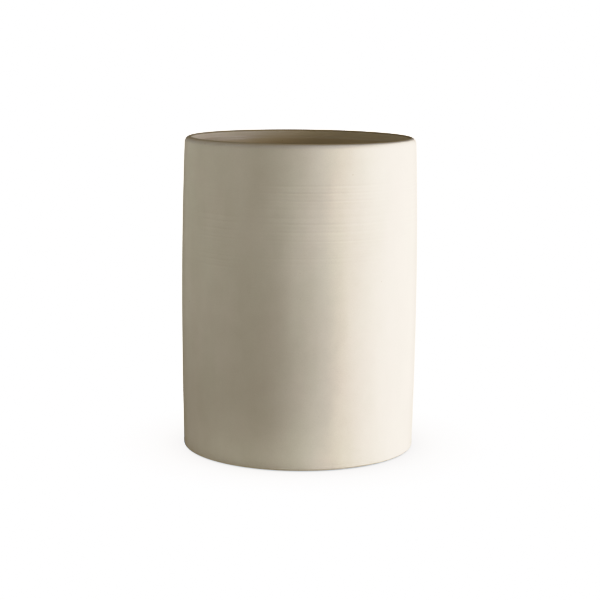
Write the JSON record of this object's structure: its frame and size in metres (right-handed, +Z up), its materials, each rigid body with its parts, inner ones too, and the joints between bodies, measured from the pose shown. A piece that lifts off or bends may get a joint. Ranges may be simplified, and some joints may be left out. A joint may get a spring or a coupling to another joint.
{
  "type": "cylinder vase",
  "caption": "Tall open cylinder vase in matte cream stoneware, slightly barrelled, with a thin rounded lip and a glazed inside; stands on felt pads and holds cut flowers in water.",
  "frame": {"origin": "centre of the plane that the four pads stand on, on the vase's axis", "axes": "+Z up along the vase's axis; the vase is turned, so +X and +Y are any two level directions, with a pad half way between each pair of them"},
  "size_m": [0.199, 0.199, 0.263],
  "materials": {
    "stoneware": "matte",
    "liner_glaze": "satin",
    "felt": "matte"
  },
  "bodies": {
    "root": {"vase_body": "stoneware", "inner_glaze": "liner_glaze", "foot_pad_1": "felt", "foot_pad_2": "felt", "foot_pad_3": "felt", "foot_pad_4": "felt"}
  },
  "joints": []
}
